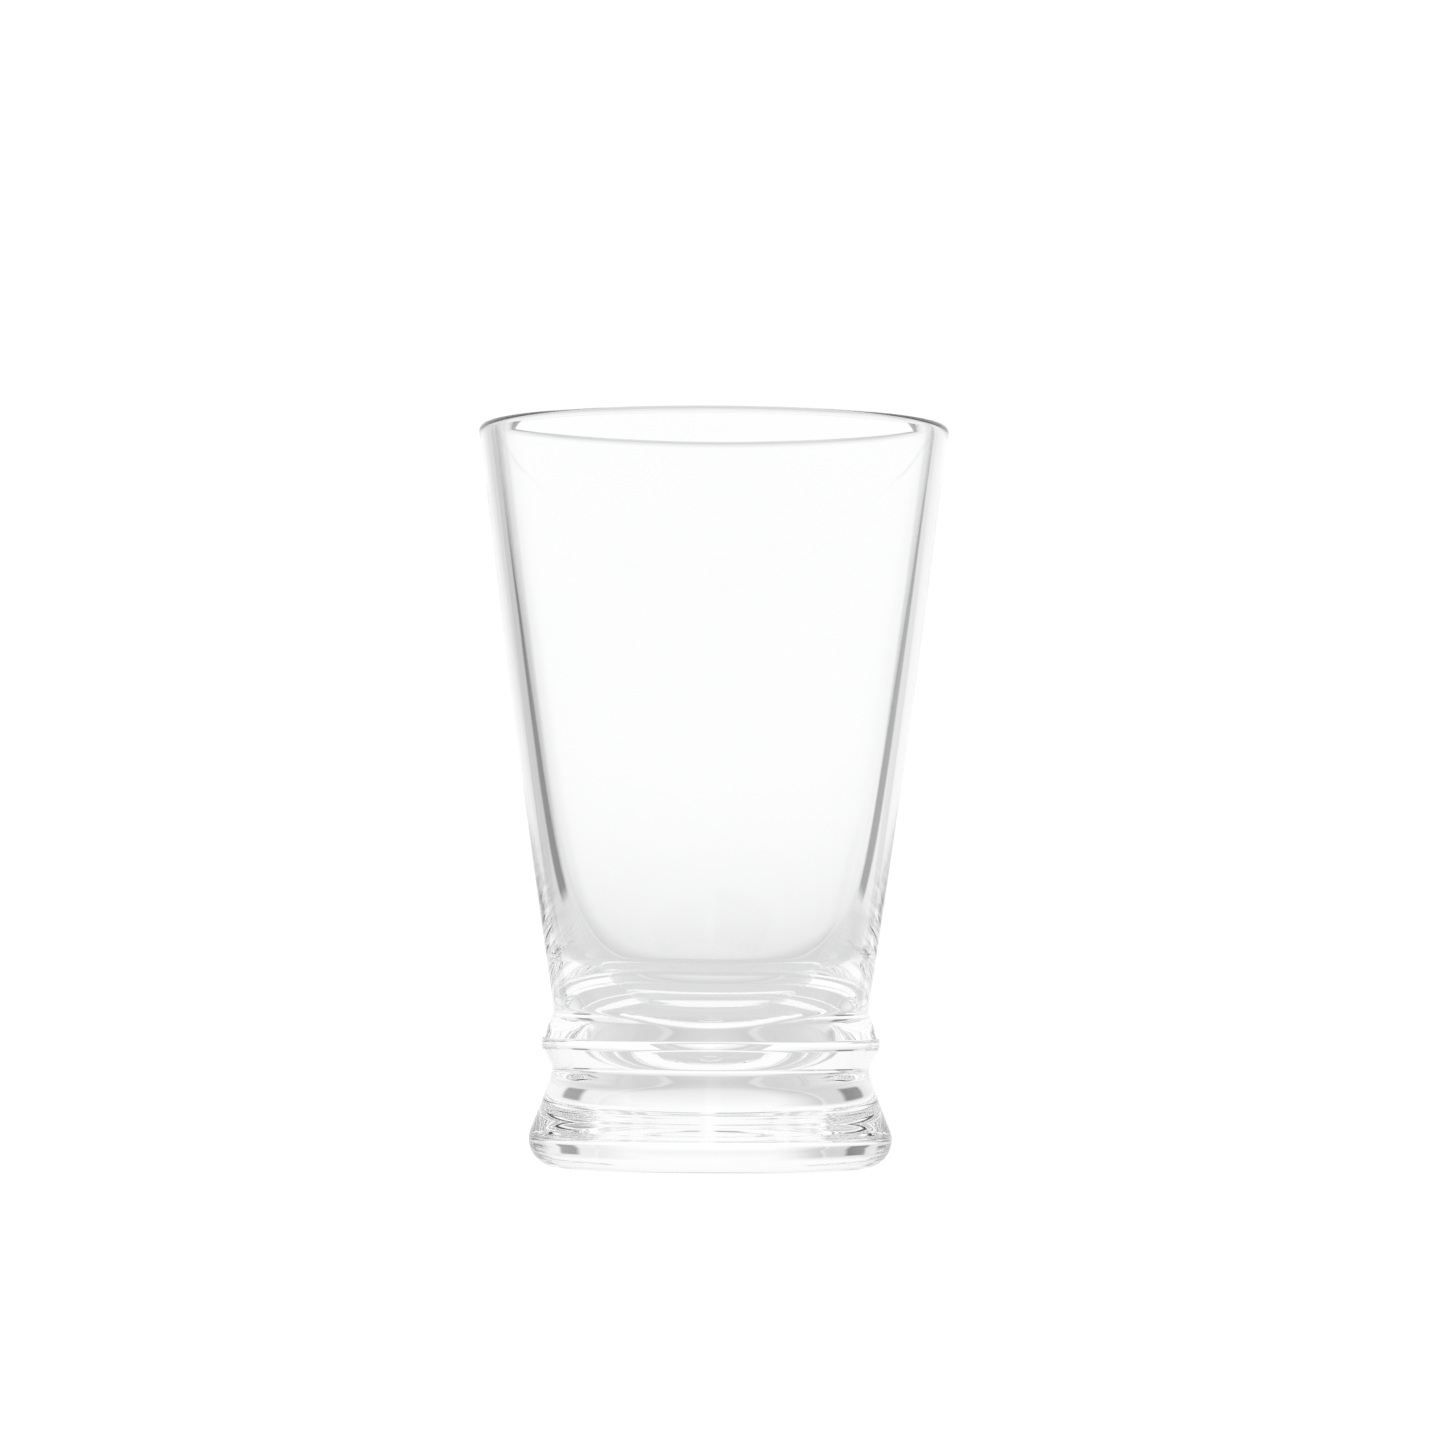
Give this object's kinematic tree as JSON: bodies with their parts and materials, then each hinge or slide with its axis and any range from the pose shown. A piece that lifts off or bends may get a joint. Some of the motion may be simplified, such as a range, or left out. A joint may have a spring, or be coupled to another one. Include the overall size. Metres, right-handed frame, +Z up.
{
  "type": "pint glass",
  "caption": "Clear pint glass: a straight flared bowl with a rounded lip over a thick solid base with a rounded collar and a flared foot.",
  "frame": {"origin": "centre of the stand ring under the foot, on the surface that the glass stands on", "axes": "+Z up along the glass's axis of revolution, from the foot to the lip; X and Y are any two directions across it"},
  "size_m": [0.0964, 0.0964, 0.152],
  "materials": {
    "clear_glass": "clear colourless glass, fire-polished, gloss"
  },
  "bodies": {
    "root": {"glass_body": "clear_glass"}
  },
  "joints": []
}
